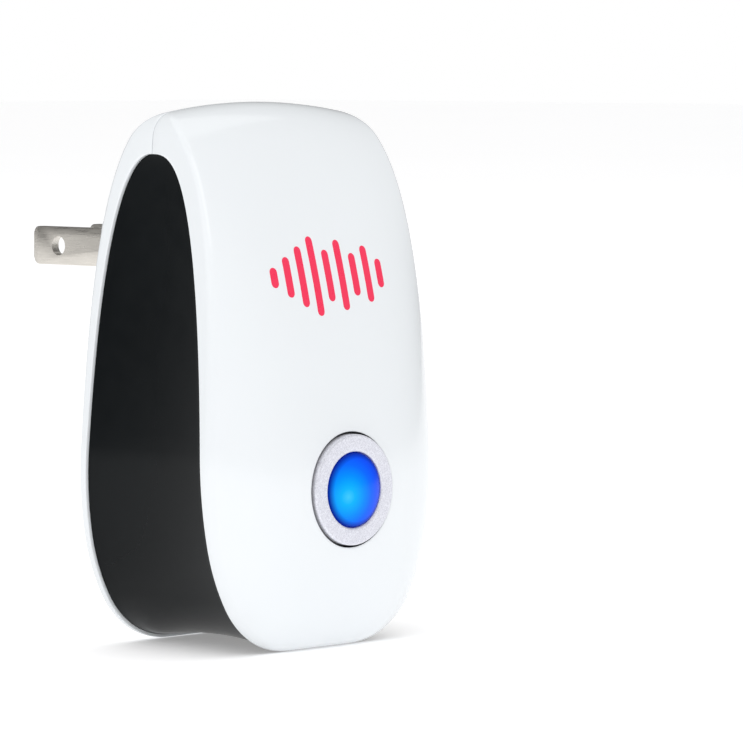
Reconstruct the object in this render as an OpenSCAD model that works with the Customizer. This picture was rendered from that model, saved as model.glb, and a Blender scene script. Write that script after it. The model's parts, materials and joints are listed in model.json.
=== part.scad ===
// Plug-in ultrasonic pest repeller: two white covers clasp a black side band,
// a lit push button sits in a trim ring on the domed front, and two flat
// blades stand out of a plug base at the rear.
// Frame: X across, +Y towards the wall, +Z up; the origin is on the floor,
// below the middle of the overall size. Depths are measured from the seam,
// where the two covers meet, and centred() moves every piece to the origin.

/* [Body] */
// Height of the body from its foot to its crest
body_h = 87.6; // [76:0.1:106]
// Width of the body across its widest stretch
body_w = 51.4; // [46:0.1:62]
// Depth of the body from the seam to its front edge
front_d = 15.6; // [13.5:0.1:18.5]
// Depth of the body from the seam to its rear edge
rear_d = 14.2; // [13:0.1:17.5]
// Extra depth of the domed front at its fullest
dome_d = 7; // [5.2:0.1:7.6]
// Wall thickness of both covers
wall = 2; // [1.6:0.1:2.4]

/* [Side band] */
// Height of the pointed top of the side band below the crest
band_drop = 8.1; // [6:0.1:12]
// Depth of the band from the seam to its front edge
band_front = 14.6; // [10:0.1:14.6]
// Depth of the band from the seam to its rear edge
band_rear = 12.5; // [9:0.1:12.6]
// Number of sound slots in the underside
slot_count = 5; // [3:1:7]

/* [Button and trim ring] */
// Height of the button's centre above the floor
button_z = 25.9; // [23:0.1:29]
// Diameter of the trim ring
ring_dia = 17.8; // [16:0.1:20]
// Diameter of the blue lens
lens_dia = 11.8; // [10.5:0.1:13]
// Height of the lens dome over the ring
lens_rise = 1.5; // [0.8:0.1:2.2]
// Travel of the button
button_travel = 1.2; // [0.6:0.1:1.4]

/* [Plug] */
// Height of the blades' centre above the floor
plug_z = 63.4; // [62:0.1:66]
// Distance between the centres of the two blades
blade_pitch = 12.7; // [12.7:0.1:12.7]
// Length of a blade outside the plug base
blade_len = 18.2; // [15.9:0.1:18.3]
// Width of a blade
blade_w = 6.35; // [5.5:0.05:7]
// Thickness of a blade
blade_t = 1.52; // [1.3:0.01:1.8]
// Diameter of the hole in a blade
blade_hole = 3.2; // [2.6:0.1:3.6]
// Depth from the seam to the plug base's wall face
plug_face = 27; // [24:0.1:30]

/* [Circuit] */
// Width of the circuit board
board_w = 36; // [34:0.5:37]
// Height of the circuit board
board_h = 43; // [42.5:0.1:43.3]
// Diameter of the sound emitter's cup
emitter_dia = 21; // [17:0.5:22]

/* [Hidden] */
$fn = 48;
eps = 0.01;
// How far a cut runs past a face
over = 1;

// Clearances
seam_gap = 0.05;
seat_gap = 0.35;
sleeve_gap = 0.1;
lens_gap = 0.2;
screw_gap = 0.03;
blade_gap = 0.06;
touch_gap = 0.05;

// Front view outline: arcs that follow one another by heading, floor to crest
foot_r = 15.8;
foot_turn = 60;
flank_r = 32;
flank_turn = 80;
hip_r = 60;
lean = 93.6;
corner_r = 4.5;
corner_turn = 171;
flat_half = body_w / 2 - foot_r * sin(foot_turn)
    - flank_r * (sin(flank_turn) - sin(foot_turn))
    - hip_r * (1 - sin(flank_turn));

// Point reached by an arc of radius r from point p, heading a to heading b
function turn_to(p, r, a, b) = p + r * [sin(b) - sin(a), cos(a) - cos(b)];
// Stations [x, z, heading] along such an arc, without its first point
function arc_stations(p, r, a, b, n) = [for (i = [1:n])
    let(h = a + (b - a) * i / n, q = turn_to(p, r, a, h)) [q[0], q[1], h]];

p_foot = [flat_half, 0];
p_flank = turn_to(p_foot, foot_r, 0, foot_turn);
p_hip = turn_to(p_flank, flank_r, foot_turn, flank_turn);
p_side = turn_to(p_hip, hip_r, flank_turn, lean);
corner_step = turn_to([0, 0], corner_r, lean, corner_turn);
crown_rise = tan((180 - corner_turn) / 2);
side_len = (body_h - p_side[1] - corner_step[1] - (p_side[0] + corner_step[0]) * crown_rise)
    / (sin(lean) + crown_rise * cos(lean));
p_corner = p_side + side_len * [cos(lean), sin(lean)];
p_crown = p_corner + corner_step;
crown_r = p_crown[0] / sin(180 - corner_turn);

// Pointed top of the band, and the side's stations below and above it
band_top = body_h - band_drop;
apex_share = (band_top - p_side[1]) / (p_corner[1] - p_side[1]);
foot_steps = 7;
flank_steps = 3;
hip_steps = 3;
low_steps = 9;
high_steps = 2;
corner_steps = 5;
crown_steps = 3;
crown_turn = 180 - (180 - corner_turn) / 4;
low_side = [for (i = [1:low_steps])
    let(q = p_side + (p_corner - p_side) * apex_share * (1 - pow(1 - i / low_steps, 2)))
    [q[0], q[1], lean]];
high_side = [for (i = [1:high_steps])
    let(q = p_side + (p_corner - p_side) * (apex_share + (1 - apex_share) * i / high_steps))
    [q[0], q[1], lean]];
half_flat = [[flat_half / 3, 0, 0], [flat_half * 2 / 3, 0, 0], [flat_half, 0, 0]];
half_stations = concat(half_flat,
    arc_stations(p_foot, foot_r, 0, foot_turn, foot_steps),
    arc_stations(p_flank, flank_r, foot_turn, flank_turn, flank_steps),
    arc_stations(p_hip, hip_r, flank_turn, lean, hip_steps),
    low_side, high_side,
    arc_stations(p_corner, corner_r, lean, corner_turn, corner_steps),
    arc_stations(p_crown, crown_r, corner_turn, crown_turn, crown_steps));
half_count = len(half_stations);

// Each outline station is [x, z, inward x, inward z]
function facing(s, side) = [side * s[0], s[1], -side * sin(s[2]), cos(s[2])];
outline = concat([[0, 0, 0, 1]],
    [for (s = half_stations) facing(s, 1)],
    [[0, body_h, 0, -1]],
    [for (i = [half_count - 1:-1:0]) facing(half_stations[i], -1)]);

// Middle of the front view, towards which a cover's rings shrink
middle_share = 0.4;
middle = [0, middle_share * body_h];
// Arches that give the covers' and the band's depth over the height
arch_drop = 2.6;
arch_h = body_h - arch_drop;
front_power = 5;
rear_power = 4.2;
cover_round = 2;
band_front_power = 2;
band_front_round = 2.7;
band_rear_power = 3.4;
band_rear_round = 2.2;
// Fullness of the front's dome over the height and the width
dome_power = 4;
dome_rise = 0.6;
dome_fall = 1.6;
dome_peak = dome_rise / (dome_rise + dome_fall);
flank_mid = p_flank + flank_r * [-sin(foot_turn), cos(foot_turn)];
hip_mid = p_hip + hip_r * [-sin(flank_turn), cos(flank_turn)];

// Half width of the outline at height z, with the sides carried on to the crest
function half_width(z) = z < p_flank[1] ? flat_half + sqrt(pow(foot_r, 2) - pow(foot_r - max(z, eps), 2))
    : z < p_hip[1] ? flank_mid[0] + sqrt(pow(flank_r, 2) - pow(flank_mid[1] - z, 2))
    : z < p_side[1] ? hip_mid[0] + sqrt(pow(hip_r, 2) - pow(hip_mid[1] - z, 2))
    : p_side[0] + (z - p_side[1]) / tan(lean);
// Height of the crest line above a given x
function crest(x) = body_h - x * x / (2 * crown_r);
// Depth of an arch of height tall at the distance h below its top
function arch(h, depth, tall, p, q) =
    depth * pow(1 - pow(1 - min(max(h, 0) / tall, 1), p), 1 / q);
function front_edge(p) = arch(crest(p[0]) - p[1], front_d, arch_h, front_power, cover_round);
function rear_edge(p) = arch(crest(p[0]) - p[1], rear_d, arch_h, rear_power, cover_round);
function band_edge_front(z) =
    arch(band_top - z, band_front, band_top, band_front_power, band_front_round);
function band_edge_rear(z) =
    arch(band_top - z, band_rear, band_top, band_rear_power, band_rear_round);
// Fullness of the dome at the share t of the height
function swell(t) = pow(t / dome_peak, dome_rise) * pow((1 - t) / (1 - dome_peak), dome_fall);
// Depth of the front's outer face at a point of the front view
function front_face(p) = front_edge(p)
    + dome_d * swell(min(1, max(0, p[1] / body_h)))
    * (1 - pow(min(1, abs(p[0]) / half_width(p[1])), dome_power));

// Ring of points made from the outline, moved inwards by inset and then
// scaled towards the middle
function ring_xz(inset, share) = [for (s = outline)
    middle + share * ([s[0] + inset * s[2], s[1] + inset * s[3]] - middle)];

// Rounding of the covers' outer edges, fading out at the crest
edge_r = 0.9;
edge_fade_d = 6;
edge_in = 0.29;
function edge_round(depth) = edge_r * min(1, depth / edge_fade_d);

// Where a cover ends: at the band's edge, or at the seam above the band
function rim(depth, band, gap) = max(gap, min(band + gap, depth - edge_round(depth) - gap));
front_rims = [for (s = outline) rim(front_edge([s[0], s[1]]), band_edge_front(s[1]), seam_gap)];
rear_rims = [for (s = outline) rim(rear_edge([s[0], s[1]]), band_edge_rear(s[1]), seam_gap)];

dome_shares = [0.985, 0.955, 0.9, 0.82, 0.7, 0.55, 0.38, 0.2];
inner_shares = [0.96, 0.9, 0.8, 0.62, 0.4, 0.2];

function ring_at(points, depths, side) =
    [for (i = [0:len(points) - 1]) [points[i][0], side * depths[i], points[i][1]]];
function mean(ring) = let(n = len(ring))
    [for (k = [0:2]) [for (p = ring) p[k]] * [for (p = ring) 1 / n]];

// Closed surface through rings that hold the same number of points
module loft(rings, flip = false) {
    n = len(rings[0]);
    m = len(rings);
    points = concat([for (r = rings) each r], [mean(rings[0]), mean(rings[m - 1])]);
    walls = [for (j = [0:m - 2]) for (i = [0:n - 1])
        let(a = j * n + i, b = j * n + (i + 1) % n) each [[a, b, a + n], [b, b + n, a + n]]];
    first = [for (i = [0:n - 1]) [m * n, (i + 1) % n, i]];
    last = [for (i = [0:n - 1]) [m * n + 1, (m - 1) * n + i, (m - 1) * n + (i + 1) % n]];
    faces = concat(walls, first, last);
    polyhedron(points, flip ? [for (f = faces) [f[2], f[1], f[0]]] : faces, convexity = 8);
}

function edge_depth(p, side) = side < 0 ? front_edge(p) : rear_edge(p);

// Outer rings of a cover, from the rim to the middle of its face
function outer_rings(rims, side) =
    let(xz0 = ring_xz(0, 1), xz1 = ring_xz(edge_in * edge_r, 1), xz2 = ring_xz(edge_r, 1),
        edges = [for (p = xz0) edge_depth(p, side)])
    concat(
        [ring_at(xz0, rims, side)],
        [ring_at(xz0, [for (i = [0:len(xz0) - 1])
            max(rims[i] + seam_gap, edges[i] - edge_round(edges[i]))], side)],
        [ring_at(xz1, [for (i = [0:len(xz1) - 1]) face_depth(xz1[i], side)
            - edge_in * edge_round(edges[i])], side)],
        [for (t = concat([1], dome_shares)) let(xz = ring_xz(edge_r, t))
            ring_at(xz, [for (p = xz) face_depth(p, side)], side)]);
// Depth of a cover's outer face at a point of the front view
function face_depth(p, side) = side < 0 ? front_face(p) : rear_edge(p);

// Inner rings of a cover, from the middle of its face to the rim
function inner_rings(rims, side) =
    let(inner = [for (t = [for (k = [len(inner_shares) - 1:-1:0]) inner_shares[k], 1])
        let(xz = ring_xz(wall, t))
        ring_at(xz, [for (i = [0:len(xz) - 1])
            max(face_depth(xz[i], side) - wall, rims[i] + seam_gap)], side)])
    concat(inner, [ring_at(ring_xz(wall, 1), rims, side)]);

module cover_shell(rims, side) {
    outer = outer_rings(rims, side);
    inner = inner_rings(rims, side);
    rings = concat([for (k = [len(outer) - 1:-1:0]) outer[k]],
        [for (k = [len(inner) - 1:-1:0]) inner[k]]);
    loft(rings, side > 0);
}

// Side band: a curved strip that sinks towards its middle
band_edge_in = 0.45;
band_sag_r = 78;
band_t = 1.7;
band_steps = 6;
first_low = [for (i = [0:len(outline) - 1]) if (abs(outline[i][1] - band_top) < eps) i];
band_stations = concat([for (i = [first_low[1]:len(outline) - 1]) outline[i]],
    [for (i = [0:first_low[0]]) outline[i]]);
least_half = 0.02;
function band_section(s) =
    let(f = max(least_half, min(band_edge_front(s[1]),
            front_edge([s[0], s[1]]) - edge_round(front_edge([s[0], s[1]])) - 2 * seam_gap)),
        b = max(least_half, min(band_edge_rear(s[1]),
            rear_edge([s[0], s[1]]) - edge_round(rear_edge([s[0], s[1]])) - 2 * seam_gap)),
        half = (f + b) / 2,
        sag = half * half / (2 * band_sag_r))
    concat(
        [for (k = [0:band_steps]) let(v = 2 * k / band_steps - 1,
            inset = band_edge_in + sag * (1 - v * v))
            [s[0] + inset * s[2], (b - f) / 2 + v * half, s[1] + inset * s[3]]],
        [for (v = [1, 0, -1]) let(inset = band_edge_in + sag + band_t)
            [s[0] + inset * s[2], (b - f) / 2 + v * half, s[1] + inset * s[3]]]);
band_floor_z = band_edge_in + pow(band_front + band_rear, 2) / (8 * band_sag_r) + band_t;

// Moves a piece from the seam's plane to the origin
module centred() translate([0, (ring_face_y + lens_rise - plug_face - blade_len) / 2, 0]) children();
// Cylinder along Y, centred on x and z
module rod_y(x, z, y0, y1, r) {
    translate([x, y1, z]) rotate([90, 0, 0]) cylinder(h = y1 - y0, r = r);
}
// Rectangle with round corners, centred
module round_rect(w, h, r) {
    union() {
        square([w - 2 * r, h], center = true);
        square([w, h - 2 * r], center = true);
        for (i = [-1, 1]) for (j = [-1, 1])
            translate([i * (w / 2 - r), j * (h / 2 - r)]) circle(r = r);
    }
}
// Rounded rectangle made solid between two depths, seen from the front
module round_block(x, z, w, h, r, y0, y1) {
    translate([x, y1, z]) rotate([90, 0, 0]) linear_extrude(y1 - y0) round_rect(w, h, r);
}
// Box given by its least corner's depth and its centre in the front view
module block_y(x, z, w, h, y0, y1) {
    translate([x - w / 2, y0, z - h / 2]) cube([w, y1 - y0, h]);
}

// Housing screws and the bosses they join
screw_r = 1.25;
head_r = 2.3;
head_h = 1.6;
well_r = 2.55;
boss_r = 3.3;
seat_y = 6;
joint_y = 1;
screw_hole_len = 9;
screw_low = [15.6, 13.2];
screw_high_x = 15.8;
screw_drop = 16.2;
screw_high = [screw_high_x, body_h - screw_drop];
screw_places = [for (p = [screw_low, screw_high]) for (side = [-1, 1]) [side * p[0], p[1]]];
post_out = 0.5;
// Depth within a cover's wall at which a post of radius r round p can end
function wall_depth(p, r, side) = min([for (i = [-1, 1]) for (j = [-1, 1])
    face_depth([p[0] + i * r, p[1] + j * r], side)]) - post_out * wall;

// Ring seat in the front cover
ring_proud = 0.45;
ring_t = 2.4;
ring_shoulder = 1.45;
seat_t = 2.4;
seat_bite = 0.4;
ring_face_y = front_face([0, button_z]) + ring_proud;
ring_floor_y = ring_face_y - ring_t;
seat_back_y = ring_floor_y - seat_t;
ring_r = ring_dia / 2;
pocket_r = ring_r + seat_gap;
sleeve_r = ring_r - ring_shoulder;
seat_r = ring_r + ring_shoulder;

module front_cover() color([0.95, 0.96, 0.97]) centred() difference() {
    union() {
        cover_shell(front_rims, -1);
        rod_y(0, button_z, -(ring_floor_y + seat_bite), -seat_back_y, seat_r);
        for (p = screw_places) rod_y(p[0], p[1], -wall_depth(p, boss_r, -1), joint_y, boss_r);
    }
    rod_y(0, button_z, -(front_d + dome_d + wall), -ring_floor_y, pocket_r);
    rod_y(0, button_z, -(ring_floor_y + eps), -(seat_back_y - eps), sleeve_r + sleeve_gap);
    for (p = screw_places) rod_y(p[0], p[1], joint_y - screw_hole_len, joint_y + eps, screw_r + screw_gap);
}

// Plug base: a raised hollow box whose end face lies against the wall
plug_w = 17.2;
plug_h = 16;
plug_corner = 6;
plug_wall = 1.2;
plug_end = 2;
label_w = 22;
label_h = 24;
label_z = 32;
label_recess = 0.95;
label_floor_y = rear_d - label_recess;
label_t = 0.25;

module rear_cover() color([0.95, 0.96, 0.97]) centred() difference() {
    union() {
        cover_shell(rear_rims, 1);
        round_block(0, plug_z, plug_w, plug_h, plug_corner, carrier_y1 + touch_gap, plug_face);
        for (p = screw_places)
            rod_y(p[0], p[1], joint_y + touch_gap, wall_depth(p, boss_r, 1), boss_r);
        for (p = post_places) rod_y(p[0], p[1], board_back_y, wall_depth(p, post_r, 1), post_r);
        for (p = carrier_places)
            rod_y(p[0], p[1], carrier_y1 + touch_gap, wall_depth(p, carrier_post_r, 1), carrier_post_r);
    }
    round_block(0, plug_z, plug_w - 2 * plug_wall, plug_h - 2 * plug_wall,
        plug_corner - plug_wall, 0, plug_face - plug_end);
    for (side = [-1, 1])
        block_y(side * blade_pitch / 2, plug_z, blade_t + 2 * blade_gap, blade_w + 2 * blade_gap,
            plug_face - plug_end - eps, plug_face + eps);
    for (p = screw_places) {
        rod_y(p[0], p[1], joint_y - eps, seat_y + eps, screw_r + 2 * sleeve_gap);
        rod_y(p[0], p[1], seat_y, rear_d + wall, well_r);
    }
    for (p = post_places)
        rod_y(p[0], p[1], board_back_y - eps, board_front_y + board_screw_len, board_screw_r + screw_gap);
    for (p = carrier_places)
        rod_y(p[0], p[1], carrier_y1 - eps, carrier_y0 + carrier_screw_len, board_screw_r + screw_gap);
    block_y(0, label_z, label_w + 2 * touch_gap, label_h + 2 * touch_gap, label_floor_y, rear_d + wall);
}

// Sound slots in the band's underside
slot_w = 1.3;
slot_pitch = 2.6;
slot_len = 14;
module side_band() color([0.1, 0.11, 0.12]) centred() difference() {
    loft([for (s = band_stations) band_section(s)], true);
    for (i = [0:slot_count - 1])
        translate([(i - (slot_count - 1) / 2) * slot_pitch - slot_w / 2, -slot_len / 2, -eps])
            cube([slot_w, slot_len, band_floor_z + over]);
}

// Trim ring: a flat face, and a sleeve that holds the lens by its flange
lens_r = lens_dia / 2;
flange_out = 0.75;
flange_r = lens_r + flange_out;
ring_bore_r = lens_r + lens_gap;
lip_t = 1.6;
lip_back_y = ring_face_y - lip_t;
sleeve_back_y = seat_back_y - 2 * sleeve_gap;
ring_bevel = 0.35;
module trim_ring() color([0.88, 0.87, 0.93]) centred() translate([0, 0, button_z]) rotate([90, 0, 0])
    rotate_extrude($fn = 96) polygon([
        [ring_bore_r, ring_face_y - ring_bevel], [ring_bore_r + ring_bevel, ring_face_y],
        [ring_r - ring_bevel, ring_face_y], [ring_r, ring_face_y - ring_bevel],
        [ring_r, ring_floor_y], [sleeve_r, ring_floor_y], [sleeve_r, sleeve_back_y],
        [flange_r + lens_gap, sleeve_back_y], [flange_r + lens_gap, lip_back_y],
        [ring_bore_r, lip_back_y]]);

// Lens button: a dome, a skirt with a flange, and a stem that meets the switch
flange_y = lip_back_y - touch_gap;
flange_t = 1;
lens_wall = 1.3;
stem_r = 1.6;
stem_back_y = 7.1;
dome_r = (lens_r * lens_r + lens_rise * lens_rise) / (2 * lens_rise);
module lens_button() color([0.1, 0.4, 0.98]) centred()
    translate([0, 0, button_z]) rotate([90, 0, 0]) union() {
    difference() {
        union() {
            translate([0, 0, flange_y - flange_t]) cylinder(h = flange_t, r = flange_r);
            translate([0, 0, flange_y - flange_t])
                cylinder(h = ring_face_y - flange_y + flange_t, r = lens_r);
            intersection() {
                translate([0, 0, ring_face_y - eps]) cylinder(h = lens_rise + over, r = lens_r);
                translate([0, 0, ring_face_y + lens_rise - dome_r]) sphere(r = dome_r, $fn = 96);
            }
        }
        translate([0, 0, flange_y - flange_t - eps])
            cylinder(h = ring_face_y - flange_y + flange_t - lens_wall, r = lens_r - lens_wall);
    }
    translate([0, 0, stem_back_y]) cylinder(h = ring_face_y - stem_back_y, r = stem_r);
}

// Light shroud round the lamps, open at the board for their legs
shroud_in_r = 8;
shroud_out_r = 9;
shroud_back_y = 0.5;
module light_shroud() color([0.93, 0.93, 0.92]) centred() difference() {
    rod_y(0, button_z, -(sleeve_back_y - touch_gap), -shroud_back_y, shroud_out_r);
    rod_y(0, button_z, -ring_floor_y, 0, shroud_in_r);
}

// Circuit board and its posts
board_t = 1.6;
board_front_y = 3.4;
board_back_y = board_front_y + board_t;
board_z0 = 16.8;
board_mid_z = board_z0 + board_h / 2;
post_r = 2.6;
board_screw_r = 1;
board_head_r = 1.9;
board_head_h = 1.3;
post_in = 2.8;
post_places = [for (j = [0, 1]) for (side = [-1, 1])
    [side * (board_w / 2 - post_in), board_z0 + post_in + j * (board_h - 2 * post_in)]];
module circuit_board() color([0.12, 0.38, 0.2]) centred() difference() {
    block_y(0, board_mid_z, board_w, board_h, board_front_y, board_back_y);
    for (p = post_places)
        rod_y(p[0], p[1], board_front_y - eps, board_back_y + eps, board_screw_r + sleeve_gap);
}

// Pan-head screw along Y: its head in front of seat when side is -1
cross_len = 1.2;
cross_depth = 0.9;
cross_w = 0.5;
module screw(x, z, seat, length, r, top_r, top_h, side) {
    difference() {
        union() {
            rod_y(x, z, side < 0 ? seat : seat - length, side < 0 ? seat + length : seat, r);
            rod_y(x, z, side < 0 ? seat - top_h : seat, side < 0 ? seat : seat + top_h, top_r);
        }
        for (turn = [0, 90]) translate([x, side < 0 ? seat - top_h : seat + top_h, z])
            rotate([0, turn, 0])
                cube([top_r * cross_len, top_h * cross_depth, r * cross_w], center = true);
    }
}
board_screw_len = 7;
module board_screws() color([0.7, 0.7, 0.72]) centred()
    for (p = post_places)
        screw(p[0], p[1], board_front_y, board_screw_len, board_screw_r, board_head_r, board_head_h, -1);
housing_screw_len = 12;
module housing_screws() color([0.66, 0.66, 0.68]) centred()
    for (p = screw_places)
        screw(p[0], p[1], seat_y, housing_screw_len, screw_r, head_r, head_h, 1);

// Blade carrier: a plate inside the rear cover with a block that fills the plug base
carrier_w = 25;
carrier_h = 10;
carrier_t = 2.6;
carrier_y1 = rear_edge([carrier_w / 2, plug_z + carrier_h / 2]) - wall - 3 * touch_gap;
carrier_y0 = carrier_y1 - carrier_t;
carrier_post_r = 2;
carrier_block_w = 14.6;
carrier_block_h = 12.4;
carrier_block_gap = 1;
carrier_block_y = plug_face - plug_end - carrier_block_gap;
carrier_screw_x = 10.2;
carrier_screw_len = 4.4;
carrier_places = [for (side = [-1, 1]) [side * carrier_screw_x, plug_z]];
module blade_carrier() color([0.2, 0.2, 0.21]) centred() difference() {
    union() {
        block_y(0, plug_z, carrier_w, carrier_h, carrier_y0, carrier_y1);
        round_block(0, plug_z, carrier_block_w, carrier_block_h,
            plug_corner - plug_wall - touch_gap, carrier_y0, carrier_block_y);
    }
    for (side = [-1, 1])
        block_y(side * blade_pitch / 2, plug_z, blade_t + 2 * blade_gap, blade_w + 2 * blade_gap,
            carrier_y0 - eps, carrier_block_y + eps);
    for (p = carrier_places)
        rod_y(p[0], p[1], carrier_y0 - eps, carrier_y1 + eps, board_screw_r + sleeve_gap);
}
module carrier_screws() color([0.7, 0.7, 0.72]) centred()
    for (p = carrier_places)
        screw(p[0], p[1], carrier_y0, carrier_screw_len, board_screw_r, board_head_r, board_head_h, -1);

// Blade: a flat strip with a round, bevelled tip and a hole near its end
blade_tail_y = 4.2;
blade_hole_in = 11.7;
tip_r = 1.6;
tip_bevel = 0.45;
tip_bevel_len = 1.8;
tail_w = 4;
module blade(side) {
    tip_y = plug_face + blade_len;
    x = side * blade_pitch / 2;
    translate([x, 0, plug_z]) difference() {
        rotate([0, -90, 0]) linear_extrude(blade_t, center = true) union() {
            translate([-blade_w / 2, carrier_y0 + wall])
                square([blade_w, tip_y - carrier_y0 - wall - tip_r]);
            translate([-blade_w / 2 + tip_r, tip_y - 2 * tip_r]) square([blade_w - 2 * tip_r, 2 * tip_r]);
            for (j = [-1, 1]) translate([j * (blade_w / 2 - tip_r), tip_y - tip_r]) circle(r = tip_r);
            translate([-tail_w / 2, blade_tail_y])
                square([tail_w, carrier_y0 + wall + over - blade_tail_y]);
        }
        for (face = [-1, 1]) linear_extrude(blade_w + over, center = true)
            polygon([[face * (blade_t / 2 + eps), tip_y - tip_bevel_len],
                [face * (blade_t / 2 + eps), tip_y + eps],
                [face * (blade_t / 2 - tip_bevel), tip_y + eps]]);
        translate([-blade_t, plug_face + blade_hole_in, 0])
            rotate([0, 90, 0]) cylinder(h = 2 * blade_t, r = blade_hole / 2);
    }
}
module line_blade() color([0.74, 0.72, 0.69]) centred() blade(-1);
module neutral_blade() color([0.74, 0.72, 0.69]) centred() blade(1);

// Wire: a round tube along a curve with four control points
wire_sides = 8;
wire_steps = 12;
function bend(p, t) = pow(1 - t, 3) * p[0] + 3 * t * pow(1 - t, 2) * p[1]
    + 3 * t * t * (1 - t) * p[2] + pow(t, 3) * p[3];
function heading(p, t) = 3 * pow(1 - t, 2) * (p[1] - p[0]) + 6 * t * (1 - t) * (p[2] - p[1])
    + 3 * t * t * (p[3] - p[2]);
module wire(path, r, across) {
    loft([for (k = [0:wire_steps])
        let(t = k / wire_steps, c = bend(path, t), ahead = heading(path, t),
            u = cross(ahead, across) / norm(cross(ahead, across)),
            v = cross(u, ahead) / norm(ahead))
        [for (i = [0:wire_sides - 1]) c + r * (cos(i * 360 / wire_sides) * u
            + sin(i * 360 / wire_sides) * v)]]);
}
supply_wire_r = 0.8;
supply_bow_y = -2.5;
supply_land_in = 4.6;
wire_land_z = board_z0 + board_h - supply_land_in;
function supply_path(side) = let(x = side * blade_pitch / 2)
    [[x, blade_tail_y - touch_gap, plug_z], [x, supply_bow_y, plug_z], [x, supply_bow_y, wire_land_z],
        [x, board_front_y - touch_gap, wire_land_z]];
module line_wire() color([0.1, 0.1, 0.1]) centred() wire(supply_path(-1), supply_wire_r, [1, 0, 0]);
module neutral_wire() color([0.92, 0.92, 0.9]) centred() wire(supply_path(1), supply_wire_r, [1, 0, 0]);

// Sound emitter: cup, disc and foam ring over the slots
emitter_r = emitter_dia / 2;
gasket_z = band_floor_z + 2 * touch_gap;
gasket_t = 0.65;
gasket_out = 2;
gasket_in = 3.6;
cup_z0 = gasket_z + gasket_t + touch_gap;
cup_h = 5.6;
cup_z1 = cup_z0 + cup_h;
cup_wall = 1;
cup_lip = 3.2;
disc_z = cup_z0 + cup_wall;
disc_t = 0.5;
element_share = 0.6;
lead_x = 3;
lead_hole_r = 1.4;
module emitter_gasket() color([0.25, 0.25, 0.26]) centred() difference() {
    translate([0, 0, gasket_z]) cylinder(h = gasket_t, r = emitter_r - gasket_out);
    translate([0, 0, gasket_z - over]) cylinder(h = gasket_t + 2 * over, r = emitter_r - gasket_in);
}
module emitter_cup() color([0.16, 0.16, 0.17]) centred() difference() {
    translate([0, 0, cup_z0]) cylinder(h = cup_z1 - cup_z0, r = emitter_r);
    translate([0, 0, disc_z - eps]) cylinder(h = cup_z1 - cup_wall - disc_z, r = emitter_r - cup_wall);
    translate([0, 0, cup_z0 - over]) cylinder(h = cup_wall + 2 * over, r = emitter_r - cup_lip);
    for (side = [-1, 1]) translate([side * lead_x, 0, cup_z1 - cup_wall - over])
        cylinder(h = cup_wall + 2 * over, r = lead_hole_r);
}
module emitter_disc() color([0.83, 0.7, 0.36]) centred() union() {
    translate([0, 0, disc_z]) cylinder(h = disc_t, r = emitter_r - cup_wall - sleeve_gap);
    translate([0, 0, disc_z + disc_t]) cylinder(h = disc_t / 2, r = emitter_r * element_share);
}
signal_wire_r = 0.55;
signal_rise = 4.8;
signal_turn = 3.8;
function signal_path(side) = [[side * lead_x, 0, disc_z + disc_t * 1.5 + touch_gap],
    [side * lead_x, 0, board_z0 - signal_rise],
    [side * lead_x, board_back_y - board_t / 2, board_z0 - signal_turn],
    [side * lead_x, board_back_y - board_t / 2, board_z0 - touch_gap]];
module emitter_wire_red() color([0.75, 0.1, 0.1]) centred()
    wire(signal_path(1), signal_wire_r, [1, 0, 0]);
module emitter_wire_black() color([0.1, 0.1, 0.1]) centred()
    wire(signal_path(-1), signal_wire_r, [1, 0, 0]);

// Push switch behind the stem
switch_w = 7;
switch_front_y = 3.2;
plunger_r = 1.5;
plunger_front_y = stem_back_y - touch_gap;
plunger_back_y = 0.8;
plunger_room = 0.4;
plunger_gap = 0.12;
module switch_body() color([0.15, 0.15, 0.16]) centred() difference() {
    block_y(0, button_z, switch_w, switch_w, -switch_front_y, board_front_y);
    rod_y(0, button_z, -(switch_front_y + eps), button_travel + plunger_room - plunger_back_y,
        plunger_r + plunger_gap);
}
module switch_plunger() color([0.92, 0.92, 0.9]) centred()
    rod_y(0, button_z, -plunger_front_y, -plunger_back_y, plunger_r);

// Blue lamps, one each side of the stem
lamp_x = 4.9;
lamp_r = 1.5;
lamp_back_y = 7;
lamp_tip_y = 12;
leg_r = 0.25;
leg_pitch = 1.27;
module lamp(side) {
    rod_y(side * lamp_x, button_z, -(lamp_tip_y - lamp_r), -lamp_back_y, lamp_r);
    translate([side * lamp_x, -(lamp_tip_y - lamp_r), button_z]) sphere(r = lamp_r);
    for (j = [-1, 1])
        rod_y(side * lamp_x, button_z + j * leg_pitch / 2, -(lamp_back_y + over), board_front_y, leg_r);
}
module led_left() color([0.75, 0.85, 0.98]) centred() lamp(-1);
module led_right() color([0.75, 0.85, 0.98]) centred() lamp(1);

// Power and drive parts on the front of the board; each place is [x, height over the board's foot]
film_at = [-9.2, 26.2];
film_size = [15, 11.4];
film_h = 8.2;
film_corner = 1;
module film_capacitor() color([0.78, 0.2, 0.14]) centred()
    round_block(film_at[0], board_z0 + film_at[1], film_size[0], film_size[1], film_corner,
        board_front_y - film_h, board_front_y);

can_step = 0.5;
module can(place, r, length) {
    z = board_z0 + place[1];
    rod_y(place[0], z, board_front_y - length, board_front_y, r);
    rod_y(place[0], z, board_front_y - length - can_step, board_front_y - length + eps, r - can_step);
}
main_can_at = [4.6, 26.2];
main_can_r = 4;
main_can_h = 11.5;
module main_capacitor() color([0.13, 0.16, 0.3]) centred() can(main_can_at, main_can_r, main_can_h);
small_can_at = [14.6, 28.6];
small_can_r = 2.5;
small_can_h = 10.5;
module small_capacitor() color([0.13, 0.16, 0.3]) centred() can(small_can_at, small_can_r, small_can_h);

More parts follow.
